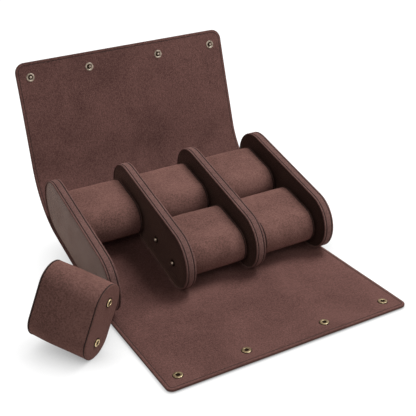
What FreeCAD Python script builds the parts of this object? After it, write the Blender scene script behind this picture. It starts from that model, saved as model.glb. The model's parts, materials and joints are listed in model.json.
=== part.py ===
"""Watch roll: a leather wrap with two flaps, four dividers and six lift-out cushions.

Frame: +X runs along the roll, +Y from the front flap to the rear flap, +Z up. The origin lies on the
ground under the middle of the whole part. Lengths are in millimetres, angles in degrees.

Everything that rides on the base is placed in the profile frame: its origin is the centre of the
dividers' front round end, u runs back along the base, v stands square on the base, and the frame is
tilted up at the back by base_tilt_angle.
"""
import FreeCAD, Part
import math
import os

import Sketcher
from FreeCAD import Placement, Rotation, Vector

SIZES = {
    # where the frame's origin lies
    "origin_left": 85.883,  # from the left edge of the wrap
    "origin_back": 25.465,  # from the dividers' front centre
    # the wrap
    "leather_thickness": 1.3,
    "lining_thickness": 0.9,
    "front_corner_radius": 6,
    "rear_corner_radius": 11,
    "front_length": 156,  # from the end of the base's flat to the free edge
    "base_tilt_angle": 14.69,
    "rear_bend_angle": 62.6,  # how far the rear flap is rolled up from the base
    "wrap_clearance": 0.3,  # between the lining and the dividers
    "fold_gap": 0.3,  # between neighbouring strips of the wrap
    # the dividers
    "divider_straight": 113.9,
    "divider_radius": 31.2,
    "divider_thickness": 10.5,
    "divider_inset": 0.7,  # outer dividers, from the wrap's side edges
    "compartment_width": 67.6,  # between two dividers
    "right_compartment_extra": 3.8,  # the right compartment is that much wider
    "rim_thickness": 1.2,
    "face_thickness": 1.3,
    "board_clearance": 0.1,  # between the rim band and what it holds
    # the cushions
    "cushion_span": 73,  # the long way of the section
    "cushion_depth": 40,
    "cushion_play": 3.3,  # between a cushion's left end and its divider
    "cushion_draw": 0.8,  # how far the sleeve is drawn in at its ends
    "cushion_shoulder": 11,  # from an end to where the sleeve is full
    "cushion_row": 17.2,  # row centre from the divider's round centre
    "cushion_level": -3.5,  # row centre above the round centre
    "panel_thickness": 2.0,
    "panel_margin": 1.0,
    "panel_round": 1.2,
    # the divider studs and the cushion sockets
    "stud_spacing": 37.7,
    "stud_flange_diameter": 7.0,
    "stud_flange_height": 0.6,
    "stud_diameter": 4.0,
    "stud_height": 1.6,
    "socket_diameter": 9.0,
    "socket_bore": 4.8,
    "socket_height": 1.4,
    "snap_clearance": 0.3,
    # the flap snaps
    "flap_snap_inset": 16.0,  # from the flap's free edge
    "flap_snap_middle": 82.6,  # between the two middle snaps
    "flap_snap_edge": 16.4,  # from an outer snap to the flap's side edge
    "eyelet_diameter": 9.6,
    "eyelet_bore": 5.0,
    "eyelet_height": 0.9,
    "barrel_diameter": 6.2,
    "barrel_clearance": 0.1,
    "flap_socket_diameter": 10.6,
    "flap_socket_height": 1.1,
    "flap_stud_diameter": 3.8,
    "flap_stud_height": 1.6,
    "flap_stud_flange": 0.5,
    "closure_clearance": 0.85,  # between a closed snap's flanges, which meet at a slight slant
    "cap_diameter": 12.0,
    "cap_height": 1.4,
    # the cushion that stands beside the roll
    "loose_gap": 0.4,  # from the wrap's left edge
    "loose_front": 105.0,  # its centre, behind the front flap's free edge
    "loose_turn_angle": -55.0,
    "loose_lean_angle": 23.0,
    "loose_dip_angle": -11.5,
}

HINGES = 6  # fold lines in each flap
REAR_CURLED = 5  # rear fold lines that are bent when the flap stands open
SETTLING_ROUNDS = 8  # of a sum that feeds back on itself
SAME_PLACE = 0.01  # two coordinates this close are the same
ROWS = ("front", "rear")
COLUMNS = ("left", "middle", "right")
LOOSE = ("front", "left")  # the cushion that is out of its compartment

doc = FreeCAD.newDocument("watch_roll")
sheet = doc.addObject("Spreadsheet::Sheet", "Sizes")
for row, (name, value) in enumerate(SIZES.items(), start=1):
    sheet.set(f"A{row}", name)
    sheet.set(f"B{row}", str(value))
    sheet.setAlias(f"B{row}", name)
doc.recompute()

SUBPARTS = {}


def size(name):
    """A driving dimension, read from the sheet."""
    return float(getattr(sheet, name))


def keep(label, thing, place):
    """Register a finished sub-part under its label."""
    thing.Label = label
    thing.Placement = place
    SUBPARTS[label] = thing


# ---------------------------------------------------------------- worked-out values

WRAP_WIDTH = (
    "2 * Sizes.divider_inset + 4 * Sizes.divider_thickness"
    " + 3 * Sizes.compartment_width + Sizes.right_compartment_extra"
)
WRAP_THICKNESS = "Sizes.leather_thickness + Sizes.lining_thickness"
STUD_REACH = "Sizes.stud_height + Sizes.snap_clearance + Sizes.socket_height"
CUSHION_LENGTH = f"Sizes.compartment_width - Sizes.cushion_play - ({STUD_REACH})"


def value(formula):
    """A formula over the sheet, worked out."""
    return float(sheet.evalExpression(formula))


THICK = value(WRAP_THICKNESS)
RHO = size("divider_radius") + size("wrap_clearance")  # inner radius of the closed wrap
STRAIGHT = size("divider_straight")
TILT = math.radians(size("base_tilt_angle"))


def front_shape():
    """The front flap's turn at each fold line, its fold lines, and where its snaps close.

    Closed, its eyelets lie on the dividers' rims, so its last plate rises a little towards them.
    The snap's place on the plate's inner surface is (u, v), with the plate's slope.
    """
    first = size("base_tilt_angle") + math.degrees(flap_slope())
    low = RHO - size("eyelet_height")
    slope = 0.0
    for _ in range(SETTLING_ROUNDS):
        turn = (180 - math.degrees(slope) - first) / (HINGES - 1)
        turns = [first] + [turn] * (HINGES - 1)
        folds = fold_positions(turns)
        run = size("front_length") - folds[-1] - size("flap_snap_inset") - half_fold(turn)
        near = run - size("eyelet_diameter") / 2
        slope = math.atan2(near, low) - math.acos(RHO / math.hypot(low, near))
    u = run * math.cos(slope) - RHO * math.sin(slope)
    v = RHO * math.cos(slope) + run * math.sin(slope)
    return turns, folds, (u, v, slope)


def half_fold(turn):
    """Distance from a fold line to where the strips beside it touch the circle of radius RHO."""
    return RHO * math.tan(math.radians(turn) / 2)


def flap_slope():
    """How far the open front flap rises towards its snaps, whose sockets stand on the ground."""
    fold = RHO * math.tan(TILT / 2)
    reach = size("front_length") - size("flap_snap_inset") - size("flap_socket_diameter") / 2 - fold
    return math.atan(size("flap_socket_height") / reach)


def fold_positions(turns):
    """Distance of each fold line from the end of the base's flat, round a circle of radius RHO."""
    halves = [half_fold(turn) for turn in turns]
    places, at = [], 0
    for k, half in enumerate(halves):
        at += half + (halves[k - 1] if k else 0)
        places.append(at)
    return places


FRONT_TURNS, FRONT_FOLDS, FRONT_SNAP = front_shape()


def rear_shape():
    """The rear flap's turn at each fold line, its fold lines and its length.

    Closed, its studs meet the front flap's sockets, so its last plate slopes up over the front flap.
    """
    u, v, slope = FRONT_SNAP
    stack = THICK + size("flap_socket_height") + size("closure_clearance") + size("flap_stud_flange")
    back = STRAIGHT - (u - stack * math.sin(slope))
    level = v + stack * math.cos(slope)
    rise = math.acos(RHO / math.hypot(level, back)) - math.atan2(back, level)
    turns = [math.degrees(math.pi - rise) / HINGES] * HINGES
    folds = fold_positions(turns)
    run = half_fold(turns[-1]) + back * math.cos(rise) + level * math.sin(rise)
    return turns, folds, folds[-1] + run + size("flap_snap_inset")


REAR_TURNS, REAR_FOLDS, REAR_LENGTH = rear_shape()


def base_height():
    """Height of the dividers' front centre: the front flap's first strip lies on the ground."""
    return THICK + FRONT_FOLDS[0] * math.sin(TILT) + RHO * math.cos(TILT)


LEFT = -size("origin_left")
PROFILE = Placement(
    Vector(LEFT, -size("origin_back"), base_height()),
    Rotation(Vector(1, 0, 0), size("base_tilt_angle")),
)


def profile(x=0.0, u=0.0, v=0.0, turn=0.0):
    """A placement in the profile frame; x from the wrap's left edge, turn about X."""
    return PROFILE * Placement(Vector(x, u, v), Rotation(Vector(1, 0, 0), turn))


# ---------------------------------------------------------------- sketches


def origin_plane(body, role):
    """One of a body's own origin planes."""
    return next(f for f in body.Origin.OriginFeatures if f.Role == role)


def new_sketch(body, name, role, lift=None):
    """A sketch on one of the body's origin planes, raised along its normal by a formula."""
    sketch = body.newObject("Sketcher::SketchObject", name)
    sketch.AttachmentSupport = [(origin_plane(body, role), "")]
    sketch.MapMode = "FlatFace"
    if lift:
        sketch.setExpression(".AttachmentOffset.Base.z", lift)
    return sketch


def name_size(sketch, constraint, name, formula):
    """Add a dimension to a sketch and tie it to a formula."""
    sketch.addConstraint(constraint)
    index = len(sketch.Constraints) - 1
    sketch.renameConstraint(index, name)
    sketch.setExpression(f"Constraints.{name}", formula)


def draw_stadium(sketch, radius, straight, tag=""):
    """A stadium centred on the sketch's origin, its long way along the sketch's X."""
    r, s = 20.0, 30.0
    first = len(sketch.Geometry)
    top = Vector(0, 0, 1)
    quarter = math.pi / 2
    sketch.addGeometry(Part.LineSegment(Vector(-s, -r, 0), Vector(s, -r, 0)))
    for x, start in ((s, -quarter), (s, 0), (-s, quarter), (-s, 2 * quarter)):
        circle = Part.Circle(Vector(x, 0, 0), top, r)
        sketch.addGeometry(Part.ArcOfCircle(circle, start, start + quarter))
        if start == 0:
            sketch.addGeometry(Part.LineSegment(Vector(s, r, 0), Vector(-s, r, 0)))
    bottom, low_right, high_right, upper, high_left, low_left = range(first, first + 6)
    join = sketch.addConstraint
    join(Sketcher.Constraint("Tangent", bottom, 2, low_right, 1))
    join(Sketcher.Constraint("Coincident", low_right, 2, high_right, 1))
    join(Sketcher.Constraint("Coincident", low_right, 3, high_right, 3))
    join(Sketcher.Constraint("Tangent", high_right, 2, upper, 1))
    join(Sketcher.Constraint("Tangent", upper, 2, high_left, 1))
    join(Sketcher.Constraint("Coincident", high_left, 2, low_left, 1))
    join(Sketcher.Constraint("Coincident", high_left, 3, low_left, 3))
    join(Sketcher.Constraint("Tangent", low_left, 2, bottom, 1))
    join(Sketcher.Constraint("PointOnObject", low_right, 2, -1))
    join(Sketcher.Constraint("PointOnObject", high_left, 2, -1))
    join(Sketcher.Constraint("Equal", low_right, low_left))
    join(Sketcher.Constraint("PointOnObject", low_right, 3, -1))
    join(Sketcher.Constraint("Symmetric", low_right, 3, high_left, 3, -1, 1))
    name_size(sketch, Sketcher.Constraint("Radius", low_right, r), f"radius{tag}", radius)
    across = Sketcher.Constraint("DistanceX", high_left, 3, low_right, 3, 2 * s)
    name_size(sketch, across, f"straight{tag}", straight)



# ---------------------------------------------------------------- builders of simple shapes


def new(kind, name, **formulas):
    """An object of the document, its properties tied to formulas over the sheet."""
    thing = doc.addObject(kind, name)
    for prop, formula in formulas.items():
        thing.setExpression(prop, formula)
    return thing


def group(name, members):
    """Separate solids that are one sub-part."""
    thing = doc.addObject("Part::Compound", name)
    thing.Links = members
    return thing


def cylinder(name, diameter, height, place):
    """A cylinder by its diameter."""
    thing = new("Part::Cylinder", name, Radius=f"({diameter}) / 2", Height=height)
    thing.Placement = place
    return thing


def cut(name, base, tool):
    """One shape less another."""
    thing = doc.addObject("Part::Cut", name)
    thing.Base = base
    thing.Tool = tool
    return thing


def fuse(name, members):
    """Shapes joined into one solid."""
    thing = doc.addObject("Part::MultiFuse", name)
    thing.Shapes = members
    return thing


def stadium_pad(name, radius, straight, thickness, bore=None):
    """A body: a stadium padded along X from its origin plane, with a stadium hole if asked."""
    body = doc.addObject("PartDesign::Body", name)
    sketch = new_sketch(body, name + "_outline", "YZ_Plane")
    draw_stadium(sketch, radius, straight)
    pad = body.newObject("PartDesign::Pad", name + "_pad")
    pad.Profile = sketch
    pad.setExpression("Length", thickness)
    if bore:
        hollow = new_sketch(body, name + "_bore", "YZ_Plane")
        draw_stadium(hollow, bore, straight)
        pocket = body.newObject("PartDesign::Pocket", name + "_pocket")
        pocket.Profile = hollow
        pocket.Type = "ThroughAll"
        pocket.Reversed = True
        body.Tip = pocket
    return body


# ---------------------------------------------------------------- the wrap

LAYERS = ("lining", "leather")


def wrap_strip(part_name, place, start, length):
    """One flat strip of the wrap, leather and lining; its inner surface is the placement's XY plane."""
    for layer in LAYERS:
        label = f"{part_name}_{layer}"
        strip = new("Part::Box", label, Length=WRAP_WIDTH, Height=f"Sizes.{layer}_thickness")
        strip.Width = length
        keep(label, strip, place * Placement(Vector(0, start, layer_depth(layer)), Rotation()))


def layer_depth(layer):
    """Depth of a layer's outer face below the wrap's inner surface."""
    return -size("lining_thickness") - (size("leather_thickness") if layer == "leather" else 0)


def snap_places():
    """Distances of the four flap snaps from the wrap's left edge."""
    half = size("flap_snap_middle") / 2
    middle = value(WRAP_WIDTH) / 2
    far = middle - size("flap_snap_edge")
    return [middle - far, middle - half, middle + half, middle + far]


def flap_end(part_name, place, length, side):
    """A flap's last plate: rounded at its free corners, with a hole for each snap.

    It reaches from the fold line to side * length along the placement's Y.
    """
    gap = size("fold_gap") / 2
    start = gap if side > 0 else -length
    for layer in LAYERS:
        label = f"{part_name}_{layer}"
        thickness = f"Sizes.{layer}_thickness"
        blank = new("Part::Box", label + "_blank", Length=WRAP_WIDTH, Height=thickness)
        blank.Width = length - gap
        blank.Placement = Placement(Vector(0, start, 0), Rotation())
        doc.recompute()
        rounded = doc.addObject("Part::Fillet", label + "_rounded")
        rounded.Base = blank
        corner = size("front_corner_radius" if side < 0 else "rear_corner_radius")
        rounded.Edges = [(number, corner, corner) for number in free_corners(blank, side)]
        holes = [
            cylinder(
                f"{label}_hole{k}",
                "Sizes.barrel_diameter + 2 * Sizes.barrel_clearance",
                thickness,
                Placement(Vector(x, side * (length - size("flap_snap_inset")), 0), Rotation()),
            )
            for k, x in enumerate(snap_places())
        ]
        plate = cut(label, rounded, fuse(label + "_holes", holes))
        keep(label, plate, place * Placement(Vector(0, 0, layer_depth(layer)), Rotation()))


def free_corners(blank, side):
    """Numbers of the two upright edges at the plate's free end."""
    box = blank.Shape.BoundBox
    end = box.YMax if side > 0 else box.YMin
    numbers = []
    for number, edge in enumerate(blank.Shape.Edges, start=1):
        span = edge.BoundBox
        upright = span.ZLength > 0.9 * box.ZLength
        if upright and abs(span.YMin - end) < SAME_PLACE:
            numbers.append(number)
    return numbers


def make_base():
    """The wrap's flat, between the two flaps' first fold lines."""
    gap = size("fold_gap") / 2
    start = -FRONT_FOLDS[0] + gap
    length = FRONT_FOLDS[0] + STRAIGHT + REAR_FOLDS[0] - 2 * gap
    wrap_strip("base", profile(v=-RHO), start, length)


def make_front_flap():
    """The front flap, open: its strips lie in one plane, from the first fold line forwards."""
    hinge = profile(u=-FRONT_FOLDS[0], v=-RHO)
    flat = hinge * Placement(Vector(), Rotation(Vector(1, 0, 0), -FRONT_TURNS[0]))
    gap = size("fold_gap") / 2
    for k in range(HINGES - 1):
        near = FRONT_FOLDS[k] - FRONT_FOLDS[0]
        far = FRONT_FOLDS[k + 1] - FRONT_FOLDS[0]
        wrap_strip(f"front_fold_{k + 1}", flat, gap - far, far - near - 2 * gap)
    last = FRONT_FOLDS[-1] - FRONT_FOLDS[0]
    end = flat * Placement(Vector(0, -last, 0), Rotation())
    length = size("front_length") - FRONT_FOLDS[-1]
    flap_end("front_flap", end, length, -1)
    make_flap_sockets(end, -(length - size("flap_snap_inset")))


def rear_places():
    """Placements of the rear flap's pieces, each at its fold line with Y along the piece."""
    bend = size("rear_bend_angle") / REAR_CURLED
    at, turn, places = profile(u=STRAIGHT, v=-RHO), 0, []
    reach = REAR_FOLDS[0]
    for k in range(HINGES):
        turn = bend if k < REAR_CURLED else 0
        at = at * Placement(Vector(0, reach, 0), Rotation(Vector(1, 0, 0), turn))
        places.append(at)
        if k + 1 < HINGES:
            reach = REAR_FOLDS[k + 1] - REAR_FOLDS[k]
    return places


def make_rear_flap():
    """The rear flap, standing open."""
    gap = size("fold_gap") / 2
    places = rear_places()
    for k in range(HINGES - 1):
        reach = REAR_FOLDS[k + 1] - REAR_FOLDS[k]
        wrap_strip(f"rear_fold_{k + 1}", places[k], gap, reach - 2 * gap)
    length = REAR_LENGTH - REAR_FOLDS[-1]
    flap_end("rear_flap", places[-1], length, 1)
    make_flap_studs(places[-1], length - size("flap_snap_inset"))


def at_point(x, y, z):
    """A placement without a turn."""
    return Placement(Vector(x, y, z), Rotation())


def make_flap_sockets(end, row):
    """The front flap's snaps: an eyelet on the lining, a barrel and a socket under the leather."""
    foot = -THICK - size("flap_socket_height")
    bore_depth = f"Sizes.eyelet_height + {WRAP_THICKNESS} + Sizes.flap_socket_height"
    snaps = []
    for k, x in enumerate(snap_places()):
        name = f"front_snap{k}"
        stack = (
            ("eyelet", "Sizes.eyelet_diameter", "Sizes.eyelet_height", 0),
            ("barrel", "Sizes.barrel_diameter", WRAP_THICKNESS, -THICK),
            ("socket", "Sizes.flap_socket_diameter", "Sizes.flap_socket_height", foot),
        )
        solids = [cylinder(f"{name}_{word}", d, h, at_point(x, row, z)) for word, d, h, z in stack]
        bore = cylinder(name + "_bore", "Sizes.eyelet_bore", bore_depth, at_point(x, row, foot))
        snaps.append(cut(name, fuse(name + "_whole", solids), bore))
    keep("front_flap_snaps", group("front_flap_snaps", snaps), end)


def make_flap_studs(end, row):
    """The rear flap's snaps: a flanged stud on the lining, a barrel and a cap on the leather."""
    stud_length = "Sizes.flap_stud_flange + Sizes.flap_stud_height"
    snaps = []
    for k, x in enumerate(snap_places()):
        name = f"rear_snap{k}"
        stack = (
            ("flange", "Sizes.eyelet_diameter", "Sizes.flap_stud_flange", 0),
            ("stud", "Sizes.flap_stud_diameter", stud_length, 0),
            ("barrel", "Sizes.barrel_diameter", WRAP_THICKNESS, -THICK),
            ("cap", "Sizes.cap_diameter", "Sizes.cap_height", -THICK - size("cap_height")),
        )
        solids = [cylinder(f"{name}_{word}", d, h, at_point(x, row, z)) for word, d, h, z in stack]
        snaps.append(fuse(name, solids))
    keep("rear_flap_snaps", group("rear_flap_snaps", snaps), end)


# ---------------------------------------------------------------- dividers

DIVIDER_PITCH = size("divider_thickness") + size("compartment_width")
DIVIDER_FACES = [size("divider_inset") + k * DIVIDER_PITCH for k in range(4)]
DIVIDER_FACES[-1] += size("right_compartment_extra")


def make_divider(number, left_face):
    """A stiff board between two leather faces, held in a suede rim band."""
    name = f"divider_{number}"
    at = profile(x=left_face, u=STRAIGHT / 2)
    straight = "Sizes.divider_straight"
    inner = "Sizes.divider_radius - Sizes.rim_thickness"
    board = f"{inner} - Sizes.board_clearance"
    thickness = "Sizes.divider_thickness"
    rim = stadium_pad(name + "_rim", "Sizes.divider_radius", straight, thickness, bore=inner)
    keep(name + "_rim", rim, at)
    core_thickness = f"{thickness} - 2 * Sizes.face_thickness"
    core = stadium_pad(name + "_core", board, straight, core_thickness)
    keep(name + "_core", core, at * at_point(size("face_thickness"), 0, 0))
    left = stadium_pad(name + "_left_face", board, straight, "Sizes.face_thickness")
    right = stadium_pad(name + "_right_face", board, straight, "Sizes.face_thickness")
    right.Placement = at_point(size("divider_thickness") - size("face_thickness"), 0, 0)
    keep(name + "_faces", group(name + "_faces", [left, right]), at)


def stud_rows():
    """The places along the base of the studs of both cushion rows."""
    half = size("stud_spacing") / 2
    front = size("cushion_row")
    rear = STRAIGHT - size("cushion_row")
    return [front - half, front + half, rear - half, rear + half]


def make_divider_studs():
    """Two studs for each cushion, on the divider face at the cushion's right."""
    studs = []
    leftwards = Rotation(Vector(0, 1, 0), -90)
    for number, face in enumerate(DIVIDER_FACES[1:], start=2):
        for k, u in enumerate(stud_rows()):
            name = f"stud_{number}_{k}"
            at = Placement(Vector(face, u, size("cushion_level")), leftwards)
            wide = cylinder(name + "_wide", "Sizes.stud_flange_diameter", "Sizes.stud_flange_height", at)
            nub = cylinder(name + "_nub", "Sizes.stud_diameter", "Sizes.stud_height", at)
            studs.append(fuse(name, [wide, nub]))
    keep("divider_studs", group("divider_studs", studs), profile())


# ---------------------------------------------------------------- cushions


def make_sleeve(name):
    """The padded sleeve: a stadium section, full in the middle and drawn in at both ends."""
    body = doc.addObject("PartDesign::Body", name)
    half = f"(({CUSHION_LENGTH}) / 2 - Sizes.panel_thickness)"
    shoulder = f"({half} - Sizes.cushion_shoulder)"
    stations = (
        (f"-{half}", "Sizes.cushion_draw"),
        (f"-{shoulder}", "Sizes.cushion_draw / 8"),
        (None, "0"),
        (shoulder, "Sizes.cushion_draw / 8"),
        (half, "Sizes.cushion_draw"),
    )
    sketches = []
    for k, (place, draw) in enumerate(stations):
        sketch = new_sketch(body, f"{name}_section{k}", "YZ_Plane", place)
        radius = f"Sizes.cushion_depth / 2 - {draw}"
        draw_stadium(sketch, radius, "Sizes.cushion_span - Sizes.cushion_depth")
        sketches.append(sketch)
    loft = body.newObject("PartDesign::AdditiveLoft", name + "_loft")
    loft.Profile = sketches[0]
    loft.Sections = sketches[1:]
    body.Tip = loft
    return body


def make_panel(name, side):
    """An end panel with a rounded outer rim."""
    radius = "Sizes.cushion_depth / 2 - Sizes.cushion_draw - Sizes.panel_margin"
    straight = "Sizes.cushion_span - Sizes.cushion_depth"
    body = stadium_pad(name, radius, straight, "Sizes.panel_thickness")
    doc.recompute()
    pad = body.Tip
    outer = size("panel_thickness") if side > 0 else 0
    rim = [
        f"Edge{n}"
        for n, edge in enumerate(pad.Shape.Edges, start=1)
        if abs(edge.BoundBox.XMin - outer) < SAME_PLACE and edge.BoundBox.XLength < SAME_PLACE
    ]
    fillet = body.newObject("PartDesign::Fillet", name + "_fillet")
    fillet.Base = (pad, rim)
    fillet.setExpression("Radius", "Sizes.panel_round")
    body.Tip = fillet
    end = value(CUSHION_LENGTH) / 2
    body.Placement = at_point(end - size("panel_thickness") if side > 0 else -end, 0, 0)
    return body


def make_cushion(name, place):
    """One cushion about its own centre: sleeve, two end panels and two snap sockets."""
    keep(name + "_sleeve", make_sleeve(name + "_sleeve"), place)
    ends = (("left", -1), ("right", 1))
    panels = [make_panel(f"{name}_{word}_panel", side) for word, side in ends]
    keep(name + "_panels", group(name + "_panels", panels), place)
    rightwards = Rotation(Vector(0, 1, 0), 90)
    sockets = []
    for k, side in enumerate((-1, 1)):
        middle = Vector(value(CUSHION_LENGTH) / 2, side * size("stud_spacing") / 2, 0)
        at = Placement(middle, rightwards)
        ring = cylinder(f"{name}_ring{k}", "Sizes.socket_diameter", "Sizes.socket_height", at)
        bore = cylinder(f"{name}_bore{k}", "Sizes.socket_bore", "Sizes.socket_height", at)
        sockets.append(cut(f"{name}_socket{k}", ring, bore))
    keep(name + "_sockets", group(name + "_sockets", sockets), place)


def seated(row, column):
    """Where a cushion sits in its compartment: its sockets just off the studs at its right."""
    x = DIVIDER_FACES[column + 1] - value(STUD_REACH) - value(CUSHION_LENGTH) / 2
    u = size("cushion_row") if row == 0 else STRAIGHT - size("cushion_row")
    return profile(x=x, u=u, v=size("cushion_level"))


def loose_place():
    """The loose cushion leans beside the roll: turned, dipped and leaned, its edge on the ground."""
    turned = Rotation(Vector(0, 0, 1), size("loose_turn_angle"))
    dipped = Rotation(Vector(0, 1, 0), -size("loose_dip_angle"))
    leaned = Rotation(Vector(1, 0, 0), 90 - size("loose_lean_angle"))
    way = turned * dipped * leaned
    box = FreeCAD.BoundBox()
    for piece in ("sleeve", "panels", "sockets"):
        trial = SUBPARTS[f"cushion_rear_left_{piece}"].Shape.copy()
        trial.Placement = Placement(Vector(), way)
        box.add(trial.optimalBoundingBox())
    front = PROFILE.multVec(Vector(0, -FRONT_FOLDS[0], -RHO)).y
    edge = front - (size("front_length") - FRONT_FOLDS[0]) * math.cos(flap_slope())
    at = Vector(LEFT - size("loose_gap") - box.XMax, edge + size("loose_front"), -box.ZMin)
    return Placement(at, way)


def make_cushions():
    """Five cushions in their compartments, and the loose one beside the roll."""
    for column, column_name in enumerate(COLUMNS):
        for row, row_name in enumerate(ROWS):
            if (row_name, column_name) != LOOSE:
                make_cushion(f"cushion_{row_name}_{column_name}", seated(row, column))
    doc.recompute()
    make_cushion("cushion_loose", loose_place())


# ---------------------------------------------------------------- the whole part

make_base()
make_front_flap()
make_rear_flap()
for number, left_face in enumerate(DIVIDER_FACES, start=1):
    make_divider(number, left_face)
make_divider_studs()
make_cushions()
doc.recompute()

for thing in doc.Objects:
    if "Invalid" in thing.State or "Error" in thing.State:
        raise RuntimeError(f"{thing.Label} failed: {thing.State}")
for label, thing in SUBPARTS.items():
    if thing.Shape.isNull() or not thing.Shape.isValid() or not thing.Shape.Solids:
        raise RuntimeError(f"{label} has no valid solid")

os.makedirs("parts", exist_ok=True)
for label, thing in SUBPARTS.items():
    thing.Shape.exportStep(f"parts/{label}.step")
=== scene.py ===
import json
import math

import bmesh
import bpy
from mathutils import Matrix, Vector, noise


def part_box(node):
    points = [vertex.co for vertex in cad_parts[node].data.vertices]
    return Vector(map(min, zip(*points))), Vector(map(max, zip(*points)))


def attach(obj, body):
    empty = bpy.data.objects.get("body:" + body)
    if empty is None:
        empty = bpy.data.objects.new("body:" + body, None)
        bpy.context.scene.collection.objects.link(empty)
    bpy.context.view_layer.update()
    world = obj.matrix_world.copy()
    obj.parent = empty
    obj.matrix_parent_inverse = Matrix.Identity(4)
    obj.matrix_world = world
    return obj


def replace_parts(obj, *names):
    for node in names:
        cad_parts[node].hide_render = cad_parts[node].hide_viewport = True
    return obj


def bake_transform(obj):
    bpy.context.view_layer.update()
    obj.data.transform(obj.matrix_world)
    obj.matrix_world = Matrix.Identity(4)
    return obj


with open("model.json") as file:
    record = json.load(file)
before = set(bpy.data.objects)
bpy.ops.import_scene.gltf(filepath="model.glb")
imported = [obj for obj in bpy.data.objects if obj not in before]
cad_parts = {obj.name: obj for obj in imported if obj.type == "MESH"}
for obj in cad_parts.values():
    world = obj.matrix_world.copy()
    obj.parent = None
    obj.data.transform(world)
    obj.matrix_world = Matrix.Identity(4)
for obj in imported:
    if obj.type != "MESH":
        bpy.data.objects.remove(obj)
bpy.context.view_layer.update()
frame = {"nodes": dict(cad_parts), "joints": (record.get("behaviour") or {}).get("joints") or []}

# ---------------------------------------------------------------- camera and studio
# The camera stands where the photograph's straight edges put it. The roll lies on a
# pale table in a white room; the table's glow is dimmed close to the roll as a painted
# contact shadow. A wide soft lamp lights it from the upper right, and two weaker ones
# fill in from the front and from the left.

EYE = Vector((-0.31318, -0.6944, 0.4438))
YAW, PITCH, ROLL = math.radians(27.48), math.radians(25.86), math.radians(2.56)
LENS, SENSOR = 74.27, 36.0

ahead = Vector(
    (math.sin(YAW) * math.cos(PITCH), math.cos(YAW) * math.cos(PITCH), -math.sin(PITCH))
)
level = Vector((math.cos(YAW), -math.sin(YAW), 0))
below = ahead.cross(level)
across = math.cos(ROLL) * level + math.sin(ROLL) * below
upward = math.sin(ROLL) * level - math.cos(ROLL) * below
camera = bpy.data.objects.new("camera", bpy.data.cameras.new("camera"))
bpy.context.scene.collection.objects.link(camera)
camera.data.lens, camera.data.sensor_width = LENS, SENSOR
facing = Matrix((across, upward, -ahead)).transposed().to_4x4()
camera.matrix_world = Matrix.Translation(EYE) @ facing
bpy.context.scene.camera = camera
bpy.context.scene.view_settings.view_transform = "Standard"


class Value:
    """One socket of a finish, for sums written as Python."""

    def __init__(self, finish, socket):
        self.finish, self.socket = finish, socket

    def sum(self, operation, *values):
        sockets = dict(enumerate(values))
        return self.finish.node("ShaderNodeMath", {"operation": operation}, sockets)

    def __add__(self, other):
        return self.sum("ADD", self, other)

    def __mul__(self, other):
        return self.sum("MULTIPLY", self, other)

    def __pow__(self, other):
        return self.sum("POWER", self, other)


class Finish:
    """A material, or the room's light, put together node by node."""

    def __init__(self, name, kind="materials"):
        self.owner = getattr(bpy.data, kind).new(name)
        self.owner.use_nodes = True
        self.tree = self.owner.node_tree
        self.tree.nodes.clear()

    def node(self, kind, settings=None, sockets=None, out=0):
        made = self.tree.nodes.new(kind)
        for key, value in (settings or {}).items():
            setattr(made, key, value)
        for key, value in (sockets or {}).items():
            if isinstance(value, Value):
                self.tree.links.new(value.socket, made.inputs[key])
            else:
                made.inputs[key].default_value = value
        return Value(self, made.outputs[out]) if len(made.outputs) else None

    def place(self, stretch=(1, 1, 1)):
        """Object coordinates, in metres, stretched."""
        here = self.node("ShaderNodeTexCoord", out="Object")
        return self.node("ShaderNodeMapping", sockets={"Vector": here, "Scale": stretch})

    def cloud(self, where, scale, detail=3.0, roughness=0.6, distortion=0.0):
        sockets = {"Vector": where, "Scale": scale, "Detail": detail}
        sockets |= {"Roughness": roughness, "Distortion": distortion}
        return self.node("ShaderNodeTexNoise", sockets=sockets)

    def spread(self, value, low, high, to_low=0.0, to_high=1.0):
        """value's range low..high carried over to another range, and held there."""
        sockets = {0: value, 1: low, 2: high, 3: to_low, 4: to_high}
        return self.node("ShaderNodeMapRange", {"interpolation_type": "SMOOTHSTEP"}, sockets)

    def mix(self, factor, first, second):
        sockets = {0: factor, 6: first, 7: second}
        return self.node("ShaderNodeMix", {"data_type": "RGBA"}, sockets, out=2)

    def bump(self, height, distance, strength=1.0):
        sockets = {"Height": height, "Distance": distance, "Strength": strength}
        return self.node("ShaderNodeBump", sockets=sockets)

    def surface(self, **sockets):
        named = {key.replace("_", " "): value for key, value in sockets.items()}
        shader = self.node("ShaderNodeBsdfPrincipled", sockets=named)
        self.node("ShaderNodeOutputMaterial", sockets={"Surface": shader})
        return self.owner


TABLE_HALF = 4.0
TABLE_WHITE = (0.66, 0.64, 0.63, 1)
TABLE_SEEN = (0.14, 0.14, 0.14, 1)
# GLOW is the table's even brightness; the reach and softness shape its painted contact shadow
GLOW, PAINTED_SHADE_REACH, PAINTED_SHADE_SOFT = 1.03, 0.05, 0.7
WHITE, WARM = (1, 1, 1, 1), (1.0, 0.80, 0.71, 1)

table = Finish("pale_table")
ray = table.node("ShaderNodeLightPath", out="Is Camera Ray")
mirror = table.node("ShaderNodeLightPath", out="Is Glossy Ray")
plain = table.node("ShaderNodeBsdfDiffuse", sockets={"Color": TABLE_WHITE})
dim = table.node("ShaderNodeBsdfDiffuse", sockets={"Color": TABLE_SEEN})
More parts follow.
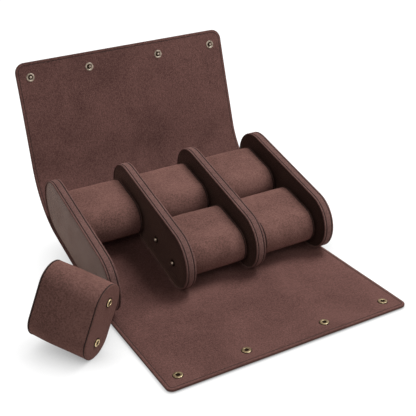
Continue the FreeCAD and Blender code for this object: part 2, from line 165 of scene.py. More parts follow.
# painted contact shadow: ambient occlusion dims the table's glow close to the roll
painted_contact_shade = table.node("ShaderNodeAmbientOcclusion", sockets={"Distance": PAINTED_SHADE_REACH}, out="AO")
glow = {"Color": table.mix(mirror, WHITE, WARM), "Strength": painted_contact_shade**PAINTED_SHADE_SOFT * GLOW}
light = table.node("ShaderNodeEmission", sockets=glow)
seen = table.node("ShaderNodeAddShader", sockets={0: dim, 1: light})
pick = table.node("ShaderNodeMixShader", sockets={0: ray + mirror, 1: plain, 2: seen})
table.node("ShaderNodeOutputMaterial", sockets={"Surface": pick})

bm = bmesh.new()
bmesh.ops.create_grid(bm, x_segments=1, y_segments=1, size=TABLE_HALF)
floor = bpy.data.objects.new("table_top", bpy.data.meshes.new("table_top"))
bm.to_mesh(floor.data)
bm.free()
floor.data.materials.append(table.owner)
bpy.context.scene.collection.objects.link(floor)

ROOM_LIGHT = 0.12
room = Finish("white_room", "worlds")
bpy.context.scene.world = room.owner
ray = room.node("ShaderNodeLightPath", out="Is Camera Ray")
mirror = room.node("ShaderNodeLightPath", out="Is Glossy Ray")
tint = room.mix(mirror, WHITE, WARM)
either = room.node("ShaderNodeMath", {"operation": "MAXIMUM"}, {0: ray, 1: mirror})
strength = room.node("ShaderNodeMapRange", sockets={"Value": either, "To Min": ROOM_LIGHT})
backdrop = room.node("ShaderNodeBackground", sockets={"Color": tint, "Strength": strength})
room.node("ShaderNodeOutputWorld", sockets={"Surface": backdrop})

LAMP_WIDE = 0.8
LIT = Vector((0.03, 0, 0.03))


def lamp(name, place, watts):
    """A square soft box at place, turned to the roll."""
    box = bpy.data.objects.new(name, bpy.data.lights.new(name, "AREA"))
    box.data.size, box.data.energy = LAMP_WIDE, watts
    box.location = place
    box.rotation_mode = "QUATERNION"
    box.rotation_quaternion = (LIT - Vector(place)).to_track_quat("-Z", "Y")
    bpy.context.scene.collection.objects.link(box)


lamp("key_lamp", (0.88, -0.10, 1.50), 27.0)
lamp("front_lamp", (0.80, -1.25, 1.00), 6.0)
lamp("fill_lamp", (-0.95, -0.99, 1.01), 4.5)

# ---------------------------------------------------------------- leather wrap
# One long sheet of smooth brown leather with a thinner suede lining glued to its
# inner side. Both are cut together with rounded corners and sewn all round. It is
# flat on the table in front, slopes under the dividers and rolls up behind them.

MIDDLE = 0.039117
WRAP_WIDTH = 0.250
LINING, LEATHER = 0.0009, 0.0013
FRONT_CORNER, REAR_CORNER, CORNER_CUTS = 0.006, 0.011, 10
EDGE_SOFT, EDGE_CUTS = 0.00035, 2
SEAM_IN, SEAM_HALF, SEAM_DEEP = 0.0026, 0.00040, 0.00028
CREASE = (-0.021535, 0.0022)
FRONT_EDGE = (-0.173337, 0.003478)
REAR_EDGE = (0.171208, 0.196097)
FRONT_REACH, REAR_REACH, CREASE_REACH = 0.00923, 0.008233, 0.0040
FOLDS = 5

hinge = {j["name"]: Vector(j["pos_m"][1:]) for j in frame["joints"] if j.get("pos_m")}
later = range(2, FOLDS + 1)
front_names = ["front_flap_roll"] + [f"front_flap_roll_{k}" for k in later]
rear_names = ["rear_flap_roll"] + [f"rear_flap_roll_{k}" for k in later] + ["rear_flap_tip"]
front_bodies = ["base"] + [f"front_fold_{k}" for k in later] + ["front_flap"]
rear_bodies = ["base", "rear_fold_1"] + [f"rear_fold_{k}" for k in later] + ["rear_flap"]

line = [Vector(FRONT_EDGE)] + [hinge[n] for n in reversed(front_names)] + [Vector(CREASE)]
line += [hinge[n] for n in rear_names] + [Vector(REAR_EDGE)]
reach = [0] + [FRONT_REACH] * FOLDS + [CREASE_REACH] + [REAR_REACH] * (FOLDS + 1) + [0]
along = [0.0]
for k in range(1, len(line)):
    along.append(along[-1] + (line[k] - line[k - 1]).length)
WRAP_LENGTH = along[-1]
AT_CREASE = FOLDS + 1


def run(u):
    """Where the lining's face is, u metres from the wrap's front edge, and which way it runs."""
    for k in range(1, len(line) - 1):
        if abs(u - along[k]) < reach[k]:
            before = (line[k] - line[k - 1]).normalized()
            after = (line[k + 1] - line[k]).normalized()
            share = (u - along[k] + reach[k]) / (2 * reach[k])
            start, end = line[k] - before * reach[k], line[k] + after * reach[k]
            spot = start * (1 - share) ** 2 + line[k] * 2 * share * (1 - share) + end * share**2
            return spot, (before * (1 - share) + after * share).normalized()
    k = next(k for k in range(1, len(line)) if u <= along[k] or k == len(line) - 1)
    way = (line[k] - line[k - 1]).normalized()
    return line[k - 1] + way * (u - along[k - 1]), way


def smooth(low, high, value):
    """0 at low, 1 at high and an easy slope between them."""
    share = min(1.0, max(0.0, (value - low) / (high - low)))
    return share * share * (3 - 2 * share)


REAR_TAPER, TAPER_FROM = 0.0022, 0.06
RIPPLE, RIPPLE_REACH, RIPPLE_LIFT = 0.00035, 0.11, 0.6
RIPPLE_SCALE, RIPPLE_SLICE = 14, 3.1


def lay(x, u, height):
    """A point of the flat sheet, height above its lining, laid where the wrap lies."""
    spot, way = run(u)
    wave = noise.noise(Vector((x * RIPPLE_SCALE, u * RIPPLE_SCALE, RIPPLE_SLICE)))
    height += RIPPLE * smooth(RIPPLE_REACH, 0.0, u) * (RIPPLE_LIFT + wave)
    outward = smooth(TAPER_FROM, WRAP_WIDTH / 2, abs(x))
    side = outward * smooth(along[AT_CREASE + 1], WRAP_LENGTH, u)
    x -= math.copysign(REAR_TAPER * side, x)
    return Vector((MIDDLE + x, spot.x - way.y * height, spot.y + way.x * height))


def inset(bm, face, thick, deep):
    """Draws a ring inside face and moves what lies within it; the ring's faces."""
    made = bmesh.ops.inset_region(
        bm, faces=[face], thickness=thick, depth=deep, use_even_offset=True
    )
    return made["faces"]


# material slots: face, edge paint, and the seam channel, which is coloured darker as painted shade
FACE, EDGE, SHADED_CHANNEL = 0, 1, 2
LEVEL, FLAT = 0.9, 0.95


def cut_sheet(top, thickness, seam_up):
    """The flat sheet: soft edges, and the channel in its outer face that the thread lies in, its
    sides coloured darker as painted shade.
    """
    flat = bmesh.new()
    half_way = WRAP_LENGTH / 2
    bmesh.ops.create_cube(flat, size=1)
    bmesh.ops.scale(flat, vec=(WRAP_WIDTH, WRAP_LENGTH, thickness), verts=flat.verts)
    bmesh.ops.translate(flat, vec=(0, half_way, top - thickness / 2), verts=flat.verts)
    upright = [e for e in flat.edges if abs(e.verts[0].co.z - e.verts[1].co.z) > thickness / 2]
    front = [e for e in upright if e.verts[0].co.y < half_way]
    rear = [e for e in upright if e.verts[0].co.y > half_way]
    rounding = {"profile": 0.5, "affect": "EDGES", "material": -1}
    for radius, corner in ((FRONT_CORNER, front), (REAR_CORNER, rear)):
        bmesh.ops.bevel(flat, geom=corner, offset=radius, segments=CORNER_CUTS, **rounding)
    sign = 1 if seam_up else -1
    rim = list({e for f in flat.faces if f.normal.z * sign > LEVEL for e in f.edges})
    bmesh.ops.bevel(flat, geom=rim, offset=EDGE_SOFT, segments=EDGE_CUTS, **rounding)
    flat.normal_update()
    for face in flat.faces:
        face.material_index = EDGE if abs(face.normal.z) < FLAT else FACE
    outer = [f for f in flat.faces if f.normal.z * sign > LEVEL]
    face = max(outer, key=lambda f: f.calc_area())
    inset(flat, face, SEAM_IN - EDGE_SOFT, 0)
    # the channel's sides take the darker channel material: painted shade
    for deep in (-SEAM_DEEP, SEAM_DEEP):
        for side in inset(flat, face, SEAM_HALF, deep):
            side.material_index = SHADED_CHANNEL
    return flat


CUT_SLACK = 1e-7


def slice_sheet(flat, place, way, drop=None):
    """Cuts across the sheet; drop is the side that goes."""
    bmesh.ops.bisect_plane(
        flat,
        geom=flat.verts[:] + flat.edges[:] + flat.faces[:],
        dist=CUT_SLACK,
        plane_co=place,
        plane_no=way,
        clear_outer=drop == "beyond",
        clear_inner=drop == "before",
    )


sections = []
for k in range(1, FOLDS + 1):
    at, pair = along[AT_CREASE - k], front_bodies[k - 1 : k + 1]
    sections.append((f"front_bend_{k}", at - FRONT_REACH, at + FRONT_REACH, pair))
for k in range(1, FOLDS + 2):
    at, pair = along[AT_CREASE + k], rear_bodies[k - 1 : k + 1]
    sections.append((f"rear_bend_{k}", at - REAR_REACH, at + REAR_REACH, pair))
base_start, base_end = along[AT_CREASE - 1] + FRONT_REACH, along[AT_CREASE + 1] - REAR_REACH
sections.append(("front_end", 0.0, along[1] - FRONT_REACH, ["front_flap"]))
sections.append(("rear_end", along[-2] + REAR_REACH, WRAP_LENGTH, ["rear_flap"]))
sections.append(("base", base_start, base_end, ["base"]))


def stands_for(section, layer):
    """The CAD strip that a section of the wrap takes the place of."""
    if "_bend_" in section:
        side, number = section.split("_bend_")
        return f"{side}_fold_{min(int(number), FOLDS)}_{layer}"
    return {"front_end": "front_flap", "rear_end": "rear_flap"}.get(section, section) + f"_{layer}"


def ride_section(piece, section):
    """The piece rides on the one body it lies on; one that lies across two bodies is baked where
    it lies.
    """
    name, start, end, bodies = section
    if len(bodies) == 1:
        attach(piece, bodies[0])
        return
    first, last = (end, start) if name.startswith("front") else (start, end)
    (a, _), (b, _) = run(first), run(last)
    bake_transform(piece)


SHARP = math.radians(35)


def new_piece(name, bm, materials):
    """A mesh object at the origin, smooth but for its sharp edges."""
    bm.normal_update()
    for face in bm.faces:
        face.smooth = True
    for edge in bm.edges:
        if len(edge.link_faces) == 2 and edge.calc_face_angle(0) > SHARP:
            edge.smooth = False
    piece = bpy.data.objects.new(name, bpy.data.meshes.new(name))
    bm.to_mesh(piece.data)
    bm.free()
    for material in materials:
        piece.data.materials.append(material)
    bpy.context.scene.collection.objects.link(piece)
    return piece


STATION, COLUMN, COLUMNS_A_SIDE = 0.0030, 0.0125, 9


def lay_wrap(layer, top, thickness, seam_up, materials):
    """One layer of the wrap, in the sections between which the flaps bend."""
    flat = cut_sheet(top, thickness, seam_up)
    for n in range(1, int(WRAP_LENGTH / STATION)):
        slice_sheet(flat, (0, n * STATION, 0), (0, 1, 0))
    for n in range(-COLUMNS_A_SIDE, COLUMNS_A_SIDE + 1):
        slice_sheet(flat, (n * COLUMN, 0, 0), (1, 0, 0))
    for section in sections:
        name, start, end = section[:3]
        part = flat.copy()
        if start > 0:
            slice_sheet(part, (0, start, 0), (0, 1, 0), drop="before")
        if end < WRAP_LENGTH:
            slice_sheet(part, (0, end, 0), (0, 1, 0), drop="beyond")
        bmesh.ops.holes_fill(part, edges=[e for e in part.edges if e.is_boundary])
        for vert in part.verts:
            vert.co = lay(*vert.co)
        piece = new_piece(f"wrap_{layer}_{name}", part, materials)
        ride_section(piece, section)
        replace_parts(piece, stands_for(name, layer))
        end - start
    flat.free()


PATCHES, MOTTLES, FIBRES = 16, 560, 1300
PATCH_SHARE, MOTTLE_SHARE, FIBRE_SHARE = 0.30, 0.40, 0.30
FIBRE_WAY = (1, 1.7, 1.3)
NAP_HIGH, NAP_FIRM = 0.00036, 0.65
SUEDE_DULL, SUEDE_SHINE = 0.93, 0.25
SHEEN, SHEEN_DULL, SHEEN_PALER = 0.22, 0.45, 3.2


def suede(name, deep, pale, nap=1.0):
    """Brushed leather: short nap that lies one way or the other in soft patches."""
    finish = Finish(name)
    here = finish.place()
    patch = finish.spread(finish.cloud(here, PATCHES, 4, 0.6, 0.8), 0.32, 0.68)
    mottle = finish.spread(finish.cloud(here, MOTTLES, 5, 0.8), 0.38, 0.62)
    fibre = finish.spread(finish.cloud(finish.place(FIBRE_WAY), FIBRES, 3, 0.75), 0.36, 0.64)
    shade = patch * PATCH_SHARE + mottle * MOTTLE_SHARE + fibre * FIBRE_SHARE
    colour = finish.mix(shade, (*deep, 1), (*pale, 1))
    relief = fibre * 0.6 + mottle * 0.5
    return finish.surface(
        Base_Color=colour,
        Roughness=SUEDE_DULL,
        Specular_IOR_Level=SUEDE_SHINE,
        Sheen_Weight=SHEEN * nap,
        Sheen_Roughness=SHEEN_DULL,
        Sheen_Tint=(*[min(1, c * SHEEN_PALER) for c in pale], 1),
        Normal=finish.bump(relief, NAP_HIGH, NAP_FIRM),
    )


WARPS, BLOTCHES, PEBBLES, PEBBLE_SOFT = 300, 22, 1150.0, 0.22
BLOOM_DULL, BLOOM_TINT = 0.35, (1.0, 0.58, 0.46, 1)
GRAIN_HIGH, GRAIN_FIRM = 0.00012, 0.6


def smooth_leather(name, deep, pale, dull=0.46, shine=0.42, bloom=0.0):
    """Fine-grained leather: small pebbles, pores between them and a waxed sheen."""
    finish = Finish(name)
    here = finish.place()
    warp = finish.cloud(here, WARPS, 3, 0.6)
    patch = finish.spread(finish.cloud(here, BLOTCHES, 4, 0.6, 0.5), 0.3, 0.7)
    grain = finish.node(
        "ShaderNodeTexVoronoi",
        {"feature": "DISTANCE_TO_EDGE"},
        {"Vector": here, "Scale": PEBBLES, "Randomness": 1.0},
    )
    pebble = finish.spread(grain, 0.0, PEBBLE_SOFT)
    colour = finish.mix(patch * 0.45 + pebble * 0.25 + warp * 0.3, (*deep, 1), (*pale, 1))
    return finish.surface(
        Base_Color=colour,
        Roughness=finish.spread(warp + patch * 0.4, 0.3, 1.1, dull - 0.05, dull + 0.08),
        Specular_IOR_Level=shine,
        Sheen_Weight=bloom,
        Sheen_Roughness=BLOOM_DULL,
        Sheen_Tint=BLOOM_TINT,
        Normal=finish.bump(pebble * 0.7 + warp * 0.6, GRAIN_HIGH, GRAIN_FIRM),
    )


LINING_DEEP, LINING_PALE = (0.052, 0.0205, 0.0175), (0.192, 0.092, 0.079)
OUTER_DEEP, OUTER_PALE = (0.030, 0.014, 0.012), (0.062, 0.030, 0.025)
EDGE_DEEP, EDGE_PALE = (0.054, 0.0225, 0.0185), (0.125, 0.058, 0.048)
# darker colours for the seam channel: partly pressed suede and leather, partly painted shade
PRESSED_SHADE_DEEP, PRESSED_SHADE_PALE = (0.030, 0.013, 0.011), (0.080, 0.037, 0.031)
CHANNEL_SHADE_DEEP, CHANNEL_SHADE_PALE = (0.012, 0.005, 0.004), (0.026, 0.012, 0.010)
lining_suede = suede("lining_suede", LINING_DEEP, LINING_PALE)
outer_leather = smooth_leather("outer_leather", OUTER_DEEP, OUTER_PALE)
edge_paint = smooth_leather("edge_paint", EDGE_DEEP, EDGE_PALE, 0.66, 0.14)
# the seam channel's suede and leather: partly pressed darker, partly painted shade
pressed_suede_painted_shade = suede("pressed_suede_painted_shade", PRESSED_SHADE_DEEP, PRESSED_SHADE_PALE, 0.5)
pressed_leather_painted_shade = smooth_leather("pressed_leather_painted_shade", CHANNEL_SHADE_DEEP, CHANNEL_SHADE_PALE)
suedes = [lining_suede, edge_paint, pressed_suede_painted_shade]
leathers = [outer_leather, edge_paint, pressed_leather_painted_shade]
lay_wrap("lining", 0.0, LINING, True, suedes)
lay_wrap("leather", -LINING, LEATHER, False, leathers)

# ---------------------------------------------------------------- wrap stitching
# A lockstitch in dark waxed thread runs all round the wrap, 3 mm inside its edge,
# and shows on both faces. Each stitch lies in the channel pressed for the seam.

STITCH_PITCH, STITCH_LONG, THREAD = 0.0030, 0.0023, 0.00036
THREAD_SUNK = 0.00010
THREAD_SIDES, THREAD_RINGS = 6, 4
SEAM_LINE = SEAM_IN + SEAM_HALF

ball = bmesh.new()
bmesh.ops.create_uvsphere(ball, u_segments=THREAD_SIDES, v_segments=THREAD_RINGS, radius=1)
stitch_form = bpy.data.meshes.new("stitch_form")
ball.to_mesh(stitch_form)
ball.free()


def sew(bm, place, way, out, length=STITCH_LONG, thick=THREAD):
    """One stitch at place, along way, standing out of the face by part of its thickness."""
    way, out = way.normalized(), out.normalized()
    turn = Matrix((way, out.cross(way), out)).transposed().to_4x4()
    size = Matrix.Diagonal((length / 2, thick, thick, 1))
    stitch = stitch_form.copy()
    stitch.transform(Matrix.Translation(place) @ turn @ size)
    bm.from_mesh(stitch)
    bpy.data.meshes.remove(stitch)


def seam_round(inward, pitch):
    """Evenly spaced (x, u) and way along the wrap's outline, some way inward of its edge."""
    half, low, high = WRAP_WIDTH / 2 - inward, inward, WRAP_LENGTH - inward
    near, far = FRONT_CORNER - inward, REAR_CORNER - inward
    runs = [((-half + near, low), (half - near, low)), ((half, low + near), (half, high - far))]
    runs += [((half - far, high), (-half + far, high)), ((-half, high - far), (-half, low + near))]
    turns = [(half - near, low + near, near), (half - far, high - far, far)]
    turns += [(-half + far, high - far, far), (-half + near, low + near, near)]
    for k, (start, end) in enumerate(runs):
        start, end = Vector(start), Vector(end)
        count = round((end - start).length / pitch)
        for n in range(count):
            yield start.lerp(end, (n + 0.5) / count), end - start
        x, u, radius = turns[k]
        count = max(1, round(radius * math.pi / 2 / pitch))
        for n in range(count):
            angle = math.pi / 2 * (k - 1 + (n + 0.5) / count)
            out = Vector((math.cos(angle), math.sin(angle)))
            yield Vector((x, u)) + out * radius, Vector((-out.y, out.x))


TWISTS, TWIST_HIGH = 2600, 0.0001


def thread_finish(name, colour):
    """Waxed thread, darker where its strands meet."""
    finish = Finish(name)
    twist = finish.cloud(finish.place(), TWISTS, 2, 0.5)
    dark, light = (*[c * 0.7 for c in colour], 1), (*[c * 1.3 for c in colour], 1)
    shade = finish.mix(twist, dark, light)
    relief = finish.bump(twist, TWIST_HIGH, 0.5)
    return finish.surface(Base_Color=shade, Roughness=0.72, Normal=relief)


SLACK, ABOVE = 1e-9, 0.001
dark_thread = thread_finish("dark_thread", (0.022, 0.009, 0.007))
thread_beds = {section[0]: bmesh.new() for section in sections}
on_lining = THREAD_SUNK - SEAM_DEEP
on_leather = -LINING - LEATHER - on_lining
for spot, way in seam_round(SEAM_LINE, STITCH_PITCH):
    name = next(s[0] for s in sections if s[1] - SLACK <= spot.y <= s[2] + SLACK)
    onward = spot + way.normalized() * STITCH_LONG / 2
    for face, rise in ((1, on_lining), (-1, on_leather)):
        here, there = lay(spot.x, spot.y, rise), lay(onward.x, onward.y, rise)
        above = lay(spot.x, spot.y, rise + face * ABOVE)
        sew(thread_beds[name], here, there - here, above - here)
for section in sections:
    piece = new_piece(f"wrap_thread_{section[0]}", thread_beds[section[0]], [dark_thread])
    ride_section(piece, section)

# ---------------------------------------------------------------- flap snaps
# Four ring snaps on each flap, in antique brass. The front flap has rolled eyelets
# on its lining and spring sockets below; the rear flap has studs with a rolled
# ring on its lining and plain caps on the leather.

SNAP_IN = 0.016
SNAP_OUTER, SNAP_INNER = 0.1086, 0.0413
STUD_OUTER = 0.1096
EYELET = ((0.0018, -0.0012), (0.0018, 0.0003), (0.0020, 0.0007), (0.0024, 0.00085))
EYELET += ((0.0032, 0.00088), (0.0039, 0.00080), (0.0044, 0.00058), (0.0047, 0.00030))
EYELET += ((0.0049, 0.0), (0.0049, -0.0003))
EYELET_CUP = ((0.0021, 0.00012), (0.0012, 0.00010), (0.0010, 0.00022), (0.0006, 0.00030))
EYELET_CUP += ((0.0, 0.00032),)
# the eyelet's hole and outer edge are coloured near black: patina and painted shade
EYELET_PATINA_AND_SHADE = ((0.0, 0.0021), (0.0045, 0.0050))
SOCKET = ((0.0053, 0.0), (0.0053, 0.0007), (0.0049, 0.0010), (0.0041, 0.0011))
SOCKET += ((0.0034, 0.00085), (0.0031, 0.0004), (0.0030, 0.0001), (0.0, 0.0001))
STUD_RING = ((0.0046, -0.0003), (0.0046, 0.0001), (0.0044, 0.00042), (0.0040, 0.0005))
STUD_RING += ((0.0033, 0.00047), (0.0029, 0.00015), (0.0026, 0.00005), (0.0018, 0.0001))
STUD_RING += ((0.0012, 0.0006), (0.0012, 0.0012), (0.00135, 0.00155), (0.00125, 0.00185))
STUD_RING += ((0.00085, 0.00205), (0.0004, 0.00209), (0.0, 0.0021))
# the ring's recess round the nub is coloured near black: patina and painted shade
RING_PATINA_AND_SHADE = ((0.0014, 0.0027),)
CAP = ((0.0060, 0.0), (0.0060, 0.0004), (0.0057, 0.0009), (0.0050, 0.00125))
CAP += ((0.0035, 0.0014), (0.0, 0.00145))
TURN_STEPS = 36
SAME_SPOT = 1e-6


def add_to(bm, part):
    """Adds a part's faces to bm, and frees the part."""
    spare = bpy.data.meshes.new("spare")
    part.to_mesh(spare)
    part.free()
    bm.from_mesh(spare)
    bpy.data.meshes.remove(spare)


def turned(bm, profile, place, axis, patina_and_shade=()):
    """A turned piece: its profile of radius and height, coloured near black over some of the radii
    as patina and painted shade.
    """
    fresh = bmesh.new()
    points = [fresh.verts.new((radius, 0, height)) for radius, height in profile]
    edges = [fresh.edges.new(pair) for pair in zip(points, points[1:])]
    bmesh.ops.spin(
        fresh,
        geom=points + edges,
        cent=(0, 0, 0),
        axis=(0, 0, 1),
        angle=math.tau,
        steps=TURN_STEPS,
        use_merge=True,
    )
    bmesh.ops.remove_doubles(fresh, verts=fresh.verts, dist=SAME_SPOT)
    bmesh.ops.holes_fill(fresh, edges=[e for e in fresh.edges if e.is_boundary])
    bmesh.ops.recalc_face_normals(fresh, faces=fresh.faces)
    # faces within the listed radii take the near-black brass: patina and painted shade
    for face in fresh.faces:
        off = sum(math.hypot(v.co.x, v.co.y) for v in face.verts) / len(face.verts)
        face.material_index = int(any(low < off < high for low, high in patina_and_shade))
    turn = Vector(axis).to_track_quat("Z", "Y").to_matrix().to_4x4()
    bmesh.ops.transform(fresh, matrix=Matrix.Translation(place) @ turn, verts=fresh.verts)
    add_to(bm, fresh)


WEARS, SCRATCHES, SCRATCH_HIGH = 420, 2600, 0.00005


def aged_brass(name, dark, bright, dull):
    """Brass in random rubbed and browned patches, with fine scratches."""
    finish = Finish(name)
    here = finish.place()
    worn = finish.spread(finish.cloud(here, WEARS, 4, 0.65, 0.4), 0.35, 0.68)
    fine = finish.cloud(here, SCRATCHES, 3, 0.6)
    colour = finish.mix(worn, (*dark, 1), (*bright, 1))
    return finish.surface(
        Base_Color=colour,
        Metallic=1.0,
        Roughness=finish.spread(fine + worn * -0.3, 0.1, 0.7, dull, dull + 0.18),
        Normal=finish.bump(fine, SCRATCH_HIGH, 0.35),
    )


brass = aged_brass("antique_brass", (0.105, 0.082, 0.050), (0.290, 0.250, 0.155), 0.40)
pale_brass = aged_brass("pale_brass", (0.250, 0.225, 0.185), (0.620, 0.600, 0.520), 0.30)
rubbed_brass = aged_brass("rubbed_brass", (0.300, 0.245, 0.125), (0.900, 0.840, 0.560), 0.22)
worn_brass = aged_brass("worn_brass", (0.140, 0.122, 0.100), (0.400, 0.375, 0.320), 0.34)
# near-black brass for hollows and surrounds: patina and painted shade
patina_and_shade_brass = aged_brass("patina_and_shade_brass", (0.007, 0.0045, 0.003), (0.022, 0.015, 0.009), 0.55)


def snap_row(u, outer, upper, lower, patina_and_shade):
    """Four snaps across the wrap, u metres from its front edge."""
    bed = bmesh.new()
    for x in (-outer, -SNAP_INNER, SNAP_INNER, outer):
        top, higher = lay(x, u, 0), lay(x, u, ABOVE)
        under = lay(x, u, -LINING - LEATHER)
        for shape in upper:
            turned(bed, shape, top, higher - top, patina_and_shade)
        turned(bed, lower, under, top - higher)
    return bed


eyelets = snap_row(SNAP_IN, SNAP_OUTER, (EYELET, EYELET_CUP), SOCKET, EYELET_PATINA_AND_SHADE)
studs = snap_row(WRAP_LENGTH - SNAP_IN, STUD_OUTER, (STUD_RING,), CAP, RING_PATINA_AND_SHADE)
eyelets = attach(new_piece("flap_eyelets", eyelets, [brass, patina_and_shade_brass]), "front_flap")
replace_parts(eyelets, "front_flap_snaps")
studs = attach(new_piece("flap_studs", studs, [worn_brass, patina_and_shade_brass]), "rear_flap")
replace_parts(studs, "rear_flap_snaps")

# ---------------------------------------------------------------- dividers
# Four upright boards with round ends, each faced with smooth dark leather and
# edged with a band of suede, folded over both sides and sewn near each edge.

TILT = math.radians(14.69)
ROUND, STRAIGHT = 0.0312, 0.1139
ROUND_CENTRE = Vector((0, -0.025465, 0.033734))
BAND, BAND_WIDE = 0.0012, 0.0105
# the second value is how far either side of a band seam the groove is coloured as painted shade
BAND_SEAM, SEAM_SHADE_BED = 0.0021, 0.00042
ARC_STEPS, RUN_STEPS = 36, 20
BAND_EDGE = ((0.0, -0.0012), (0.0, -0.0007), (0.00010, -0.00032), (0.00035, -0.00008))
BAND_EDGE += ((0.00080, 0.0), (0.00125, -0.00004), (0.00160, -0.00022), (0.00185, -0.00050))
BAND_EDGE += ((0.00210, -0.00060), (0.00235, -0.00050), (0.00260, -0.00020))
BAND_EDGE += ((0.00290, -0.00005), (0.00340, 0.0))
BAND_PITCH, BAND_STITCH, BAND_THREAD, BAND_THREAD_SUNK = 0.0027, 0.0021, 0.00030, 0.00046
FACE_IN, FACE_THICK, FACE_AT = ROUND - BAND - 0.0001, 0.0008, 0.0015


def go_round(bm, geom, near, far, arc_steps, run_steps):
    """Takes a section, drawn below near, once round the two rounds centred at y near and far."""
    onward = (far - near) / run_steps
    for y, angle, steps, step in (
        (0, 0, run_steps, onward),
        (far, math.pi, arc_steps, 0),
        (0, 0, run_steps, -onward),
        (near, math.pi, arc_steps, 0),
    ):
        made = bmesh.ops.spin(
            bm,
            geom=geom,
            cent=(0, y, 0),
            axis=(1, 0, 0),
            dvec=(0, step, 0),
            angle=angle,
            steps=steps,
        )
        geom = made["geom_last"]
    bmesh.ops.remove_doubles(bm, verts=bm.verts, dist=SAME_SPOT)


def line_round(near, far, radius, pitch):
    """Evenly spaced places once round the same two rounds: (point, way, outward)."""
    laps = []
    count, turns = round((far - near) / pitch), round(math.pi * radius / pitch)
    for n in range(count):
        y = near + (far - near) * (n + 0.5) / count
        for up in (-1, 1):
            laps.append((Vector((0, y, up * radius)), Vector((0, 1, 0)), Vector((0, 0, up))))
    for centre, start in ((far, -math.pi / 2), (near, math.pi / 2)):
        for n in range(turns):
            angle = start + math.pi * (n + 0.5) / turns
            out = Vector((0, math.cos(angle), math.sin(angle)))
            laps.append((Vector((0, centre, 0)) + out * radius, Vector((0, -out.z, out.y)), out))
    return laps


def mirror_piece(bm):
    """Turns a right-hand piece into a left-hand one."""
    bmesh.ops.scale(bm, vec=(-1, 1, 1), verts=bm.verts)
    bmesh.ops.reverse_faces(bm, faces=bm.faces)


def stand(bm, x):
    """Moves a divider's piece from its own axes to its place on the sloping base."""
    place = Matrix.Translation(ROUND_CENTRE + Vector((x, 0, 0))) @ Matrix.Rotation(TILT, 4, "X")
    bmesh.ops.transform(bm, matrix=place, verts=bm.verts)


def make_band(x):
    """A divider's suede band, with a pressed groove for the seam near each edge, coloured darker
    there as painted shade.
    """
    band = bmesh.new()
    profile = list(BAND_EDGE) + [(BAND_WIDE - px, r) for px, r in reversed(BAND_EDGE)]
    points = [band.verts.new((px, 0, -(ROUND + r))) for px, r in profile]
    edges = [band.edges.new(pair) for pair in zip(points, points[1:] + points[:1])]
    go_round(band, points + edges, 0, STRAIGHT, ARC_STEPS, RUN_STEPS)
    bmesh.ops.recalc_face_normals(band, faces=band.faces)
    # faces near each seam line take the darker suede: painted shade in the groove
    for face in band.faces:
        middle = face.calc_center_median().x
        to_seam = min(abs(middle - BAND_SEAM), abs(BAND_WIDE - BAND_SEAM - middle))
        face.material_index = int(to_seam < SEAM_SHADE_BED)
    stand(band, x)
    return band


PADDING = ((0.0001, 0.0002), (0.0004, 0.0002), (0.0012, 0.00015), (0.0025, 0.00018))
PADDING += ((0.004, 0.00009), (0.006, 0.00003))


def make_face_panel(side):
    """One leather face: a turned edge and a little padding under it."""
    panel = bmesh.new()
    start = panel.verts.new((0, 0, -FACE_IN))
    go_round(panel, [start], 0, STRAIGHT, ARC_STEPS, RUN_STEPS)
    face = bmesh.ops.edgeloop_fill(panel, edges=panel.edges[:])["faces"][0]
    face.normal_update()
    if face.normal.x < 0:
        face.normal_flip()
    bmesh.ops.solidify(panel, geom=[face], thickness=FACE_THICK)
    panel.normal_update()
    outer = [f for f in panel.faces if f.normal.x > LEVEL]
    top = max(outer, key=lambda f: f.calc_center_median().x)
    for thick, deep in PADDING:
        inset(panel, top, thick, deep)
    if side < 0:
        mirror_piece(panel)
    return panel


RIM_DEEP, RIM_PALE = (0.080, 0.038, 0.034), (0.225, 0.122, 0.106)
# darker suede for the seam grooves of bands and cushions: pressed suede and painted shade
GROOVE_SHADE_DEEP, GROOVE_SHADE_PALE = (0.009, 0.0035, 0.0028), (0.026, 0.011, 0.009)
FACE_DEEP, FACE_PALE = (0.011, 0.0046, 0.0036), (0.023, 0.0105, 0.0085)
rim_suede = suede("rim_suede", RIM_DEEP, RIM_PALE)
pressed_rim_painted_shade = suede("pressed_rim_painted_shade", GROOVE_SHADE_DEEP, GROOVE_SHADE_PALE, 0.1)
divider_leather = smooth_leather("divider_leather", FACE_DEEP, FACE_PALE, 0.44, 0.24, 0.5)
band_thread = thread_finish("band_thread", (0.018, 0.007, 0.006))
BOARD_DEEP, BOARD_PALE = (0.20, 0.15, 0.10, 1), (0.38, 0.30, 0.21, 1)
PULPS, PULP_WAY, PULP_HIGH = 700, (1, 1, 4), 0.0002
card = Finish("board")
pulp = card.cloud(card.place(PULP_WAY), PULPS, 4, 0.7)
board = card.surface(
    Base_Color=card.mix(pulp, BOARD_DEEP, BOARD_PALE),
    Roughness=0.85,
    Normal=card.bump(pulp, PULP_HIGH, 0.5),
)

